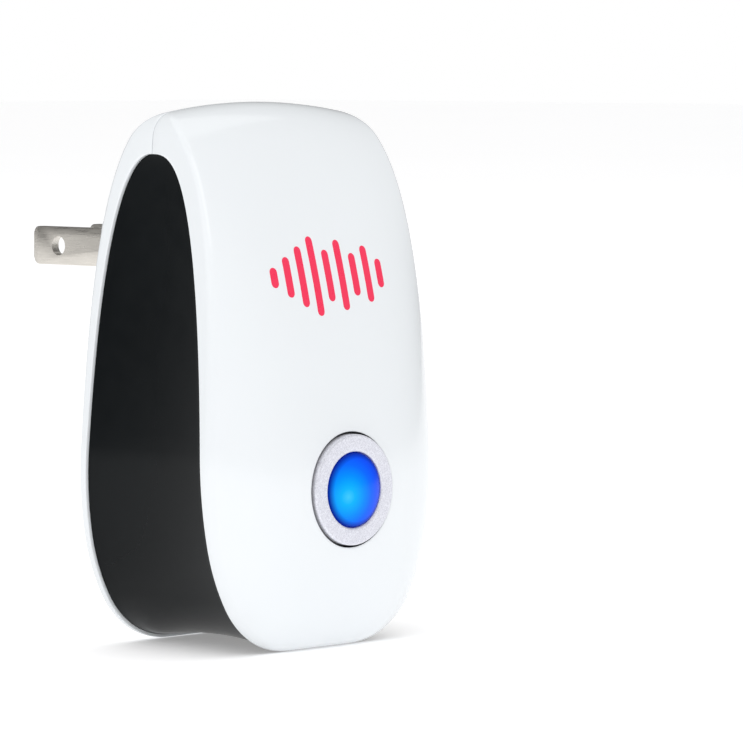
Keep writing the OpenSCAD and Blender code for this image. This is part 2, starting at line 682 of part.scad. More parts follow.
rectifier_at = [0, 36.4];
rectifier_size = [8, 5.8];
rectifier_h = 2.8;
module rectifier() color([0.13, 0.13, 0.14]) centred()
    block_y(rectifier_at[0], board_z0 + rectifier_at[1], rectifier_size[0], rectifier_size[1],
        board_front_y - rectifier_h, board_front_y);

// Part with a lead at each end, lying along Z; its feet are thinner than its leads
lead_r = 0.3;
lead_foot_r = 0.22;
lead_over = 1.2;
lead_lift = 0.2;
module axial(place, r, length) {
    z = board_z0 + place[1];
    y = board_front_y - r - lead_lift;
    translate([place[0], y, z - length / 2]) cylinder(h = length, r = r);
    translate([place[0], y, z - length / 2 - lead_over]) cylinder(h = length + 2 * lead_over, r = lead_r);
    for (j = [-1, 1])
        rod_y(place[0], z + j * (length / 2 + lead_over - lead_r), y, board_front_y, lead_foot_r);
}
fuse_at = [-11, 36.6];
fuse_r = 1.4;
fuse_len = 5;
module fuse_resistor() color([0.35, 0.55, 0.4]) centred() axial(fuse_at, fuse_r, fuse_len);
resistor_z = 16.8;
resistor_a_x = 11.4;
resistor_b_x = 14.2;
resistor_c_x = 16.6;
resistor_r = 0.9;
resistor_len = 3.6;
module resistor(x) color([0.8, 0.68, 0.5]) centred() axial([x, resistor_z], resistor_r, resistor_len);
module resistor_a() resistor(resistor_a_x);
module resistor_b() resistor(resistor_b_x);
module resistor_c() resistor(resistor_c_x);

choke_at = [10.8, 22.8];
choke_r = 2;
choke_h = 6.5;
choke_flange = 1;
choke_inset = 0.2;
module choke_rod(y0, y1, r) {
    rod_y(choke_at[0], board_z0 + choke_at[1], board_front_y - y1, board_front_y - y0, r);
}
module choke_core() color([0.2, 0.2, 0.2]) centred() union() {
    choke_rod(choke_h - choke_flange, choke_h, choke_r);
    choke_rod(choke_flange - eps, choke_h - choke_flange + eps, choke_r / 2);
    choke_rod(0, choke_flange, choke_r);
}
module choke_winding() color([0.72, 0.4, 0.2]) centred() difference() {
    choke_rod(choke_flange + touch_gap, choke_h - choke_flange - touch_gap, choke_r - choke_inset);
    choke_rod(0, choke_h, choke_r / 2 + touch_gap);
}

driver_at = [-13.2, 10.2];
driver_size = [6.2, 9.4];
driver_t = 3.2;
driver_lift = 0.6;
pin_pitch = 2.54;
pin_out = 3.3;
pin_w = 0.6;
pin_t = 0.5;
pin_h = 2.4;
module driver_chip() color([0.14, 0.14, 0.15]) centred() union() {
    block_y(driver_at[0], board_z0 + driver_at[1], driver_size[0], driver_size[1],
        board_front_y - driver_lift - driver_t, board_front_y - driver_lift);
    for (side = [-1, 1]) for (j = [-1.5:1.5])
        block_y(driver_at[0] + side * pin_out, board_z0 + driver_at[1] + j * pin_pitch,
            pin_t, pin_w, board_front_y - pin_h, board_front_y);
}

transistor_at = [13.4, 9.6];
transistor_r = 2.3;
transistor_h = 4.6;
transistor_lift = 1.4;
transistor_flat = 1.8;
module transistor() color([0.14, 0.14, 0.15]) centred() difference() {
    rod_y(transistor_at[0], board_z0 + transistor_at[1], board_front_y - transistor_lift - transistor_h,
        board_front_y - transistor_lift, transistor_r);
    block_y(transistor_at[0], board_z0 + transistor_at[1] + transistor_flat + transistor_r,
        3 * transistor_r, 2 * transistor_r, board_front_y - transistor_lift - transistor_h - over,
        board_front_y - transistor_lift + over);
}

ceramic_at = [-13.4, 17.8];
ceramic_r = 2.6;
ceramic_t = 1.8;
ceramic_lift = 3.4;
module ceramic_capacitor() color([0.75, 0.45, 0.15]) centred()
    translate([ceramic_at[0], board_front_y - ceramic_lift, board_z0 + ceramic_at[1]])
        cylinder(h = ceramic_t, r = ceramic_r, center = true);

// Blank rating label in the rear recess
module rating_label() color([0.85, 0.85, 0.86]) centred()
    block_y(0, label_z, label_w, label_h, label_floor_y, label_floor_y + label_t);

front_cover();
rear_cover();
side_band();
trim_ring();
lens_button();
light_shroud();
led_left();
led_right();
switch_body();
switch_plunger();
circuit_board();
board_screws();
housing_screws();
blade_carrier();
carrier_screws();
line_blade();
neutral_blade();
line_wire();
neutral_wire();
emitter_cup();
emitter_disc();
emitter_gasket();
emitter_wire_red();
emitter_wire_black();
film_capacitor();
main_capacitor();
small_capacitor();
rectifier();
fuse_resistor();
choke_core();
choke_winding();
driver_chip();
transistor();
resistor_a();
resistor_b();
resistor_c();
ceramic_capacitor();
rating_label();
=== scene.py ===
"""Ultrasonic pest repeller: the looks of its shells, band, lens, ring, blades and inner works."""
import json
import math

import bmesh
import bpy
from mathutils import Matrix, Vector

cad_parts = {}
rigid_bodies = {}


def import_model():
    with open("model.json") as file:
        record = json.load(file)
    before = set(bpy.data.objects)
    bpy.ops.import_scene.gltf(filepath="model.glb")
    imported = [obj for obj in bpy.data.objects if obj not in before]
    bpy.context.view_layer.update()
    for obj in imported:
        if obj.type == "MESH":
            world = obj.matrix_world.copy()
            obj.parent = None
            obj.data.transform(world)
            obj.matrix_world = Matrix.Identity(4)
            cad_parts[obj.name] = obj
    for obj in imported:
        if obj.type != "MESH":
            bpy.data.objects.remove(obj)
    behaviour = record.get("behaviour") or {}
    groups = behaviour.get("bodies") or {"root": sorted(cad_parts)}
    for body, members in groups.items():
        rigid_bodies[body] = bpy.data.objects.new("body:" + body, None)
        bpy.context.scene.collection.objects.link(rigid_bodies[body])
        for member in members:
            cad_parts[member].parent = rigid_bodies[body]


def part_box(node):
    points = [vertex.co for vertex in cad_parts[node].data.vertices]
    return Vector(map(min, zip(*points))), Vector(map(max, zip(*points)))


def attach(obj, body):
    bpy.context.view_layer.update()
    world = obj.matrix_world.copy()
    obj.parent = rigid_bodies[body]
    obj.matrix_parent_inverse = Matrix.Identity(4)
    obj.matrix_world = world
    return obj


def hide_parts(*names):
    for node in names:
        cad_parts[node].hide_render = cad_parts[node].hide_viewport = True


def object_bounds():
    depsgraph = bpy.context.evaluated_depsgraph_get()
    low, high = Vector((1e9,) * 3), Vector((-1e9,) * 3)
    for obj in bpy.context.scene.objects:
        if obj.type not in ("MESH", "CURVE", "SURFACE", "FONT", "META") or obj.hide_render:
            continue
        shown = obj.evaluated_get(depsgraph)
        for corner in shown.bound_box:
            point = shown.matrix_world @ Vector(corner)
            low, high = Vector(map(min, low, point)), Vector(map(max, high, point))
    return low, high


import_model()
cad_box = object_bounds()
MM = 0.001

# ------------------------------------------------- sizes, in mm from the seam's plane
BODY_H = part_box("front_cover")[1].z / MM
BODY_W = 2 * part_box("front_cover")[1].x / MM
FRONT_D, REAR_D, DOME_D, WALL = 15.6, 14.2, 7.0, 2.0
BAND_TOP = BODY_H - 8.1
BAND_FRONT, BAND_REAR = 14.6, 12.5
FOOT_R, FLANK_R, HIP_R, CORNER_R = 15.8, 32.0, 60.0, 4.5
FOOT_TURN, FLANK_TURN, LEAN, CORNER_TURN = (math.radians(a) for a in (60, 80, 93.6, 171))
ARCH_H = BODY_H - 2.6
DOME_RISE, DOME_FALL, DOME_POWER = 0.6, 1.6, 4
DOME_PEAK = DOME_RISE / (DOME_RISE + DOME_FALL)
EDGE_R, EDGE_FADE, SEAM_GAP = 0.9, 6.0, 0.05
RIM_BEVEL = 0.16
MIDDLE = Vector((0, 0.4 * BODY_H))
BUTTON_Z, PLUG_Z = 25.9, 63.4
RING_R, LENS_R, RING_FACE, LENS_RISE = 8.9, 5.9, 23.0182, 1.5
RING_FLOOR, RING_BACK, RING_LIP = RING_FACE - 2.4, RING_FACE - 4.8, RING_FACE - 1.6
SEAM_Y = cad_box[0].y / MM + RING_FACE + LENS_RISE
PLUG_FACE, BLADE_LEN, BLADE_W, BLADE_T, BLADE_PITCH = 27.0, 18.2, 6.35, 1.52, 12.7
SCREWS = ((-15.6, 13.2), (15.6, 13.2), (-15.8, 71.4), (15.8, 71.4))
SCREW_SEAT, WELL_R, BOSS_R, BOSS_END, SCREW_HOLE_R, BORE = 6.0, 2.55, 3.3, 1.0, 1.45, 9.0
LABEL_Z, LABEL_W, LABEL_H, LABEL_FLOOR = 32.0, 22.0, 24.0, REAR_D - 0.95
LABEL_T, LABEL_CORNER = 0.25, 0.6
FRONT_ARCH, REAR_ARCH, BAND_FRONT_ARCH, BAND_REAR_ARCH = (5, 2), (4.2, 2), (2, 2.7), (3.4, 2.2)
CROWN_END = 0.9965 * math.pi
POCKET_R, RING_BITE, SEAT_OUT, SKIRT_IN, SKIRT_GAP = RING_R + 0.35, 1.35, 1.45, 1.45, 0.2
PLUG_W, PLUG_H, PLUG_CORNER, PLUG_START = 17.2, 16.0, 6.0, 9.5
SLOT_FIT, SHOULDER, NECK_HALF, TIP_R = 0.12, 9.5, 2.0, 1.6
TIP_TAPER, TIP_THIN, TIP_CURVE = 1.8, 0.5, 1.3
HOLE_R, HOLE_OUT = 1.6, 11.7
BAND_INSET, BAND_THICK, BAND_HOLLOW_R, BAND_LIP = 0.45, 1.7, 78.0, 0.22
SOUND_SLOTS, SLOT_PITCH, SLOT_SIZE, SLOT_CORNER = 5, 2.6, (1.3, 14, 12), 0.6
BAR_HEIGHTS = (3.2, 6.4, 9.6, 12.6, 8.2, 11.2, 6.8, 9.0, 4.6)
BAR_PITCH, BAR_W, BAR_Z, BAR_SHIFT, INK = 3.0, 1.5, 60.0, -0.5, 0.02
PAST = 2.0


def at(x, y, z):
    """A point in metres from mm, with y counted from the seam."""
    return Vector((x * MM, (y + SEAM_Y) * MM, z * MM))


# ------------------------------------------------- outline and depth of the body
def arc_to(p, r, a, b):
    """The end of an arc of radius r from p, as its heading turns from a to b."""
    return p + r * Vector((math.sin(b) - math.sin(a), math.cos(a) - math.cos(b)))


FLAT_HALF = (BODY_W / 2 - FOOT_R * math.sin(FOOT_TURN)
             - FLANK_R * (math.sin(FLANK_TURN) - math.sin(FOOT_TURN))
             - HIP_R * (1 - math.sin(FLANK_TURN)))
P_FOOT = Vector((FLAT_HALF, 0))
P_FLANK = arc_to(P_FOOT, FOOT_R, 0, FOOT_TURN)
P_HIP = arc_to(P_FLANK, FLANK_R, FOOT_TURN, FLANK_TURN)
P_SIDE = arc_to(P_HIP, HIP_R, FLANK_TURN, LEAN)
CORNER_STEP = arc_to(Vector((0, 0)), CORNER_R, LEAN, CORNER_TURN)
CROWN_RISE = math.tan((math.pi - CORNER_TURN) / 2)
SIDE_LEN = ((BODY_H - P_SIDE.y - CORNER_STEP.y - (P_SIDE.x + CORNER_STEP.x) * CROWN_RISE)
            / (math.sin(LEAN) + CROWN_RISE * math.cos(LEAN)))
P_CORNER = P_SIDE + SIDE_LEN * Vector((math.cos(LEAN), math.sin(LEAN)))
P_CROWN = P_CORNER + CORNER_STEP
CROWN_R = P_CROWN.x / math.sin(math.pi - CORNER_TURN)
FLANK_MID = P_FLANK + FLANK_R * Vector((-math.sin(FOOT_TURN), math.cos(FOOT_TURN)))
HIP_MID = P_HIP + HIP_R * Vector((-math.sin(FLANK_TURN), math.cos(FLANK_TURN)))


def arc_stations(p, r, a, b, n):
    """Points (x, z, heading) along an arc, without its start."""
    turns = [a + (b - a) * i / n for i in range(1, n + 1)]
    return [(*arc_to(p, r, a, t), t) for t in turns]


def side_stations(low, high, n, bunch=1.0):
    """Stations between two heights of the straight side, bunched towards the upper end."""
    heights = [high - (high - low) * (1 - i / n) ** bunch for i in range(1, n + 1)]
    return [(P_SIDE.x + (z - P_SIDE.y) / math.tan(LEAN), z, LEAN) for z in heights]


def outline():
    """The closed front-view outline as (x, z, inward x, inward z), from the middle of the foot."""
    right = ([(FLAT_HALF * i / 6, 0, 0) for i in range(1, 7)]
             + arc_stations(P_FOOT, FOOT_R, 0, FOOT_TURN, 26)
             + arc_stations(P_FLANK, FLANK_R, FOOT_TURN, FLANK_TURN, 10)
             + arc_stations(P_HIP, HIP_R, FLANK_TURN, LEAN, 10)
             + side_stations(P_SIDE.y, BAND_TOP, 34, 2.0)
             + side_stations(BAND_TOP, P_CORNER.y, 4)
             + arc_stations(P_CORNER, CORNER_R, LEAN, CORNER_TURN, 18)
             + arc_stations(P_CROWN, CROWN_R, CORNER_TURN, CROWN_END, 12))
    facing = [(x, z, -math.sin(t), math.cos(t)) for x, z, t in right]
    left = [(-x, z, -nx, nz) for x, z, nx, nz in reversed(facing)]
    return [(0, 0, 0, 1)] + facing + [(0, BODY_H, 0, -1)] + left


OUTLINE = outline()


def half_width(z):
    """Half of the outline's width at a height."""
    if z < P_FLANK.y:
        return FLAT_HALF + math.sqrt(FOOT_R ** 2 - (FOOT_R - max(z, 0.01)) ** 2)
    if z < P_HIP.y:
        return FLANK_MID.x + math.sqrt(FLANK_R ** 2 - (FLANK_MID.y - z) ** 2)
    if z < P_SIDE.y:
        return HIP_MID.x + math.sqrt(HIP_R ** 2 - (HIP_MID.y - z) ** 2)
    return P_SIDE.x + (z - P_SIDE.y) / math.tan(LEAN)


def arch(h, depth, tall, p, q):
    """Depth at a distance h below the crest, which reaches its full value at tall."""
    return depth * (1 - (1 - min(max(h, 0) / tall, 1)) ** p) ** (1 / q)


def drop(x, z):
    """Distance of a point below the crest line."""
    return BODY_H - x * x / (2 * CROWN_R) - z


def front_edge(x, z):
    """Depth of the front ridge line."""
    return arch(drop(x, z), FRONT_D, ARCH_H, *FRONT_ARCH)


def rear_face(x, z):
    """Depth of the rear face, which is flat from side to side."""
    return arch(drop(x, z), REAR_D, ARCH_H, *REAR_ARCH)


def band_front(z):
    """Depth of the band in front of the seam."""
    return arch(BAND_TOP - z, BAND_FRONT, BAND_TOP, *BAND_FRONT_ARCH)


def band_rear(z):
    """Depth of the band behind the seam."""
    return arch(BAND_TOP - z, BAND_REAR, BAND_TOP, *BAND_REAR_ARCH)


def front_face(x, z):
    """Depth of the domed front: its ridge, plus a swell that fades to the sides."""
    t = min(1, max(0, z / BODY_H))
    swell = (t / DOME_PEAK) ** DOME_RISE * ((1 - t) / (1 - DOME_PEAK)) ** DOME_FALL
    return front_edge(x, z) + DOME_D * swell * (1 - min(1, abs(x) / half_width(z)) ** DOME_POWER)


def rounding(depth):
    """Radius of the ridge's rounding, which fades where the body is thin."""
    return EDGE_R * min(1, depth / EDGE_FADE)


def rim(depth, band):
    """Depth at which a cover's edge starts, beside the band or at the seam."""
    return max(SEAM_GAP, min(band + SEAM_GAP, depth - rounding(depth) - SEAM_GAP))


# ------------------------------------------------- mesh helpers
def piece_from(bm, name, body, material, sharp=35):
    """A visible piece from a finished mesh, riding a body, with smooth faces and sharp corners."""
    mesh = bpy.data.meshes.new(name)
    bm.to_mesh(mesh)
    bm.free()
    for poly in mesh.polygons:
        poly.use_smooth = True
    mesh.set_sharp_from_angle(angle=math.radians(sharp))
    obj = bpy.data.objects.new(name, mesh)
    bpy.context.scene.collection.objects.link(obj)
    mesh.materials.append(material)
    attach(obj, body)
    return obj


def first_ring(bm, points):
    """A closed ring of vertices and edges."""
    verts = [bm.verts.new(p) for p in points]
    for a, b in zip(verts, verts[1:] + verts[:1]):
        bm.edges.new((a, b))
    return verts


def grow_ring(bm, ring, points):
    """Extrudes a closed ring of vertices and puts the new ones at the given points."""
    edges = [bm.edges.get((a, b)) for a, b in zip(ring, ring[1:] + ring[:1])]
    made = bmesh.ops.extrude_edge_only(bm, edges=edges)["geom"]
    fresh = {g for g in made if isinstance(g, bmesh.types.BMVert)}
    after = [next(e.other_vert(v) for e in v.link_edges if e.other_vert(v) in fresh) for v in ring]
    for v, p in zip(after, points):
        v.co = p
    return after


def close_ring(bm, ring, fan=True):
    """Closes a ring with one face, or with a fan of triangles."""
    face = bm.faces.new(ring)
    if fan:
        bmesh.ops.poke(bm, faces=[face])


def ring_points(inset, depth, side):
    """The outline moved inwards by inset, at the depth that a function gives."""
    points = []
    for i, (x, z, nx, nz) in enumerate(OUTLINE):
        px, pz = x + inset * nx, z + inset * nz
        points.append(at(px, side * depth(i, px, pz), pz))
    return points


def cutter(bm, name):
    """A scratch object for a boolean."""
    mesh = bpy.data.meshes.new(name)
    bmesh.ops.recalc_face_normals(bm, faces=bm.faces)
    bm.to_mesh(mesh)
    bm.free()
    obj = bpy.data.objects.new(name, mesh)
    bpy.context.scene.collection.objects.link(obj)
    return obj


def rod(bm, x, z, y0, y1, r):
    """Adds a cylinder along Y between two depths."""
    made = bmesh.ops.create_cone(bm, cap_ends=True, segments=48, radius1=r * MM,
                                 radius2=r * MM, depth=(y1 - y0) * MM)["verts"]
    bmesh.ops.rotate(bm, verts=made, matrix=Matrix.Rotation(math.pi / 2, 3, "X"))
    bmesh.ops.translate(bm, verts=made, vec=at(x, (y0 + y1) / 2, z))


def round_edges(bm, edges, r, segments):
    """Rounds the given edges by r mm."""
    bmesh.ops.bevel(bm, geom=edges, offset=r * MM, segments=segments, affect="EDGES",
                    profile=0.5, material=-1)


def box(bm, x, z, w, h, y0, y1, corner=0.0):
    """Adds a block between two depths, its corners rounded in the front view."""
    made = bmesh.ops.create_cube(bm, size=1)["verts"]
    bmesh.ops.scale(bm, verts=made, vec=Vector((w, y1 - y0, h)) * MM)
    bmesh.ops.translate(bm, verts=made, vec=at(x, (y0 + y1) / 2, z))
    if corner:
        edges = {e for v in made for e in v.link_edges
                 if abs(e.verts[0].co.y - e.verts[1].co.y) > (y1 - y0) * MM * 0.9}
        round_edges(bm, list(edges), corner, 10)


def carve(obj, cutters, operation="DIFFERENCE"):
    """Applies a boolean with each cutter and removes the cutters."""
    for tool in cutters:
        cut = obj.modifiers.new("cut", "BOOLEAN")
        cut.object = tool
        cut.operation = operation
        cut.solver = "EXACT"
        graph = bpy.context.evaluated_depsgraph_get()
        mesh = bpy.data.meshes.new_from_object(obj.evaluated_get(graph))
        obj.modifiers.clear()
        old = obj.data
        obj.data = mesh
        bpy.data.meshes.remove(old)
        bpy.data.objects.remove(tool)


# ------------------------------------------------- materials
class Paint:
    """A node material with Object coordinates, built up step by step."""

    def __init__(self, name, colour, rough, metal=0.0, ior=1.46):
        self.mat = bpy.data.materials.new(name)
        self.mat.use_nodes = True
        self.tree = self.mat.node_tree
        self.shader = self.tree.nodes["Principled BSDF"]
        self.coords = self.tree.nodes.new("ShaderNodeTexCoord")
        self.value("Base Color", (*colour, 1))
        self.value("Roughness", rough)
        self.value("Metallic", metal)
        self.value("IOR", ior)
        self.height = None

    def value(self, socket, number):
        """Sets a uniform value on the shader."""
        self.shader.inputs[socket].default_value = number

    def link(self, a, b):
        """Joins two node sockets."""
        self.tree.links.new(a, b)

    def noise(self, scale, detail=3.0, stretch=(1, 1, 1), offset=(0, 0, 0)):
        """A soft noise over the piece."""
        place = self.tree.nodes.new("ShaderNodeMapping")
        place.inputs["Scale"].default_value = stretch
        place.inputs["Location"].default_value = offset
        tex = self.tree.nodes.new("ShaderNodeTexNoise")
        tex.inputs["Scale"].default_value = scale
        tex.inputs["Detail"].default_value = detail
        self.link(self.coords.outputs["Object"], place.inputs["Vector"])
        self.link(place.outputs["Vector"], tex.inputs["Vector"])
        return tex.outputs["Fac"]

    def cells(self, scale, output="Color"):
        """A pattern of small cells."""
        tex = self.tree.nodes.new("ShaderNodeTexVoronoi")
        tex.inputs["Scale"].default_value = scale
        self.link(self.coords.outputs["Object"], tex.inputs["Vector"])
        return tex.outputs[output]

    def distance(self, centre):
        """Distance from a point, in metres."""
        node = self.tree.nodes.new("ShaderNodeVectorMath")
        node.operation = "DISTANCE"
        node.inputs[1].default_value = centre
        self.link(self.coords.outputs["Object"], node.inputs[0])
        return node.outputs["Value"]

    def spread(self, source, low, high, out_low=0.0, out_high=1.0):
        """Maps one range of values to another."""
        node = self.tree.nodes.new("ShaderNodeMapRange")
        node.inputs["From Min"].default_value = low
        node.inputs["From Max"].default_value = high
        node.inputs["To Min"].default_value = out_low
        node.inputs["To Max"].default_value = out_high
        self.link(source, node.inputs["Value"])
        return node.outputs["Result"]

    def ramp(self, source, stops):
        """Colours for values between 0 and 1."""
        node = self.tree.nodes.new("ShaderNodeValToRGB")
        band = node.color_ramp
        for i, (place, colour) in enumerate(stops):
            stop = band.elements[i] if i < 2 else band.elements.new(place)
            stop.position = place
            stop.color = (*colour, 1)
        self.link(source, node.inputs["Fac"])
        return node.outputs["Color"]

    def bump(self, source, distance, strength=1.0):
        """Adds relief on top of any relief so far."""
        node = self.tree.nodes.new("ShaderNodeBump")
        node.inputs["Distance"].default_value = distance
        node.inputs["Strength"].default_value = strength
        self.link(source, node.inputs["Height"])
        if self.height is not None:
            self.link(self.height, node.inputs["Normal"])
        self.height = node.outputs["Normal"]
        self.link(self.height, self.shader.inputs["Normal"])

    def into(self, source, socket):
        """Drives one of the shader's sockets."""
        self.link(source, self.shader.inputs[socket])


def shade(colour, by):
    """A colour made lighter or darker by a factor."""
    return tuple(min(1, c * by) for c in colour)


def moulded(name, colour, rough, tone=0.02, grain=0.00001, grain_scale=900):
    """Moulded plastic: faint flow in tone and gloss, and a very fine skin."""
    paint = Paint(name, colour, rough)
    tones = [(0.3, shade(colour, 1 - tone)), (0.7, shade(colour, 1 + tone))]
    paint.into(paint.ramp(paint.noise(45, 4), tones), "Base Color")
    gloss = paint.noise(320, 5, offset=(3, 1, 2))
    paint.into(paint.spread(gloss, 0.3, 0.7, rough * 0.82, rough * 1.18), "Roughness")
    paint.bump(paint.noise(grain_scale, 2), grain, 0.6)
    return paint


def metal(name, colour, rough, stretch=(1, 1, 1), scale=900, scratch=0.000006):
    """Plated metal with fine lines along one direction and a mottled gloss."""
    paint = Paint(name, colour, rough, metal=1.0, ior=1.5)
    tones = [(0.3, shade(colour, 0.9)), (0.7, shade(colour, 1.04))]
    paint.into(paint.ramp(paint.noise(60, 4), tones), "Base Color")
    lines = paint.noise(scale, 4, stretch)
    paint.into(paint.spread(lines, 0.25, 0.75, rough * 0.7, rough * 1.4), "Roughness")
    paint.bump(paint.noise(scale, 3, stretch, (1, 2, 3)), scratch)
    return paint


def white_gloss():
    """Glossy white plastic with a thin clear skin."""
    paint = moulded("white_gloss", (0.785, 0.812, 0.833), 0.17, 0.006, 0.0000045, 420)
    paint.value("Coat Weight", 0.25)
    paint.value("Coat Roughness", 0.06)
    return paint.mat


def black_gloss():
    """Glossy black plastic with a weak reflection."""
    paint = moulded("black_gloss", (0.0042, 0.0054, 0.0062), 0.15, 0.12, 0.000004, 380)
    paint.value("Specular IOR Level", 0.13)
    return paint.mat


def glitter_silver():
    """Silver paint with small bright flakes that face many ways."""
    paint = Paint("glitter_silver", (0.7, 0.7, 0.78), 0.4, metal=0.3, ior=1.5)
    flakes = paint.cells(6500)
    tones = [(0.15, (0.62, 0.625, 0.69)), (0.5, (0.72, 0.725, 0.79)), (0.85, (0.84, 0.85, 0.91))]
    paint.into(paint.ramp(flakes, tones), "Base Color")
    paint.into(paint.spread(paint.cells(6500), 0.2, 0.8, 0.3, 0.5), "Roughness")
    paint.bump(flakes, 0.00002, 0.35)
    return paint.mat


def lens_painted_glow():
    """Clear blue cap whose inner light is painted in as emission: a painted glow brightest low on
    its left, and painted shade darkening its rim.
    """
    paint = Paint("lens_painted_glow", (0.001, 0.006, 0.09), 0.22, ior=1.49)
    # painted glow: the emission fades outwards from a spot low on the lens's left
    lit = at(-2.7, -(RING_FACE + 1.2), BUTTON_Z - 0.9)
    away = paint.spread(paint.distance(lit), 0, 0.0086)
    painted_glow = paint.ramp(away, [(0.0, (0.05, 0.60, 1.0)), (0.15, (0.002, 0.47, 0.99)),
                             (0.4, (0.0, 0.27, 0.97)), (0.6, (0.002, 0.14, 0.93)),
                             (0.8, (0.003, 0.08, 0.86)), (1.0, (0.002, 0.045, 0.6))])
    middle = at(0, -(RING_FACE + LENS_RISE / 2), BUTTON_Z)
    # painted shade: the emission turns dark navy towards the lens's rim
    edge = paint.spread(paint.distance(middle), 0.0050, 0.0060)
    shaded = paint.tree.nodes.new("ShaderNodeMix")
    shaded.data_type = "RGBA"
    shaded.inputs[7].default_value = (0.0, 0.012, 0.22, 1)
    paint.link(edge, shaded.inputs[0])
    paint.link(painted_glow, shaded.inputs[6])
    paint.into(shaded.outputs[2], "Emission Color")
    paint.value("Emission Strength", 1.0)
    paint.bump(paint.noise(300, 2), 0.000003)
    paint.value("Specular IOR Level", 0.06)
    return paint.mat


def printed_red():
    """Red printing ink."""
    return moulded("printed_red", (0.87, 0.035, 0.10), 0.3, 0.03, 0.000008, 1500).mat


def blade_nickel():
    """Satin plating, brushed along the blade."""
    paint = metal("blade_nickel", (0.66, 0.63, 0.58), 0.3, (9, 0.35, 9), 700, 0.000008)
    paint.bump(paint.noise(260, 3), 0.00003, 0.5)
    return paint.mat


def label_film():
    """Blank silver film, brushed one way."""
    paint = Paint("label_film", (0.72, 0.73, 0.75), 0.35, metal=0.6, ior=1.5)
    paint.into(paint.spread(paint.noise(900, 3, (1, 1, 12)), 0.3, 0.7, 0.28, 0.44), "Roughness")
    tones = [(0.3, (0.68, 0.69, 0.71)), (0.7, (0.76, 0.77, 0.79))]
    paint.into(paint.ramp(paint.noise(120, 3), tones), "Base Color")
    paint.bump(paint.noise(2600, 2), 0.000006)
    return paint.mat


def board_green():
    """Lacquered circuit board with faint tracks under the lacquer."""
    paint = Paint("board_green", (0.02, 0.12, 0.045), 0.3, ior=1.5)
    tracks = paint.cells(420, "Distance")
    tones = [(0.25, (0.018, 0.11, 0.04)), (0.45, (0.03, 0.19, 0.07))]
    paint.into(paint.ramp(tracks, tones), "Base Color")
    paint.bump(tracks, 0.00002, 0.5)
    return paint.mat


def wound_copper():
    """Copper with the turns of its wire."""
    paint = metal("wound_copper", (0.72, 0.33, 0.16), 0.3, scale=500)
    turns = paint.tree.nodes.new("ShaderNodeTexWave")
    turns.bands_direction = "Y"
    turns.inputs["Scale"].default_value = 900
    paint.link(paint.coords.outputs["Object"], turns.inputs["Vector"])
    paint.bump(turns.outputs["Fac"], 0.0001)
    return paint.mat


def foam():
    """Dark foam with small cells."""
    paint = Paint("gasket_foam", (0.06, 0.06, 0.065), 0.9, ior=1.4)
    tones = [(0.1, (0.03, 0.03, 0.033)), (0.6, (0.08, 0.08, 0.085))]
    paint.into(paint.ramp(paint.cells(1800, "Distance"), tones), "Base Color")
    paint.bump(paint.cells(1800, "Distance"), 0.0002)
    return paint.mat


def clear_blue():
    """The clear epoxy of the two lamps."""
    paint = moulded("lamp_blue", (0.35, 0.55, 0.9), 0.08, 0.03)
    paint.value("Transmission Weight", 0.5)
    return paint.mat


def paints():
    """The finish for each material slot of the record."""
    return {
        "white_plastic": white_gloss(), "black_plastic": black_gloss(),
        "ring_silver": glitter_silver(), "lens_blue": lens_painted_glow(),
        "lamp_blue": clear_blue(), "board_green": board_green(),
        "shroud_white": moulded("shroud_white", (0.8, 0.8, 0.78), 0.45, 0.03).mat,
        "dark_plastic": moulded("dark_plastic", (0.025, 0.025, 0.028), 0.5, 0.15, 0.00003).mat,
        "plunger_white": moulded("plunger_white", (0.78, 0.78, 0.75), 0.35, 0.03).mat,
        "screw_steel": metal("screw_steel", (0.6, 0.6, 0.61), 0.32).mat,
        "blade_nickel": blade_nickel(), "label_silver": label_film(), "gasket_foam": foam(),
        "wire_black": moulded("wire_black", (0.015, 0.015, 0.015), 0.45, 0.2).mat,
        "wire_white": moulded("wire_white", (0.75, 0.75, 0.72), 0.45, 0.04).mat,
        "wire_red": moulded("wire_red", (0.5, 0.02, 0.02), 0.4, 0.1).mat,
        "disc_brass": metal("disc_brass", (0.7, 0.52, 0.22), 0.28).mat,
        "film_red": moulded("film_red", (0.5, 0.05, 0.02), 0.25, 0.12).mat,
        "can_blue": moulded("can_blue", (0.012, 0.02, 0.09), 0.3, 0.15).mat,
        "resistor_green": moulded("resistor_green", (0.1, 0.26, 0.14), 0.4, 0.12).mat,
        "resistor_tan": moulded("resistor_tan", (0.6, 0.42, 0.23), 0.4, 0.1).mat,
        "ferrite": moulded("ferrite", (0.04, 0.04, 0.042), 0.6, 0.2, 0.00005).mat,
        "winding_copper": wound_copper(),
        "ceramic_orange": moulded("ceramic_orange", (0.5, 0.2, 0.03), 0.35, 0.12).mat,
    }


def dress_nodes(finish):
    """Gives every carried-over piece the finish of its slot."""
    for obj in bpy.data.objects:
        if obj.type != "MESH":
            continue
        for slot in obj.material_slots:
            key = slot.material.name.split(".")[0] if slot.material else ""
            if key in finish:
                slot.material = finish[key]


# ------------------------------------------------- shells
EDGE_ANGLES = [math.radians(a) for a in (0, 15, 30, 45, 60, 75, 90)]
FACE_STEPS = (0.012, 0.026, 0.044, 0.068, 0.098, 0.135, 0.18, 0.23, 0.285, 0.345, 0.41, 0.475, 0.54,
              0.605, 0.67, 0.73, 0.785, 0.835, 0.88, 0.92, 0.95, 0.975, 1.0)


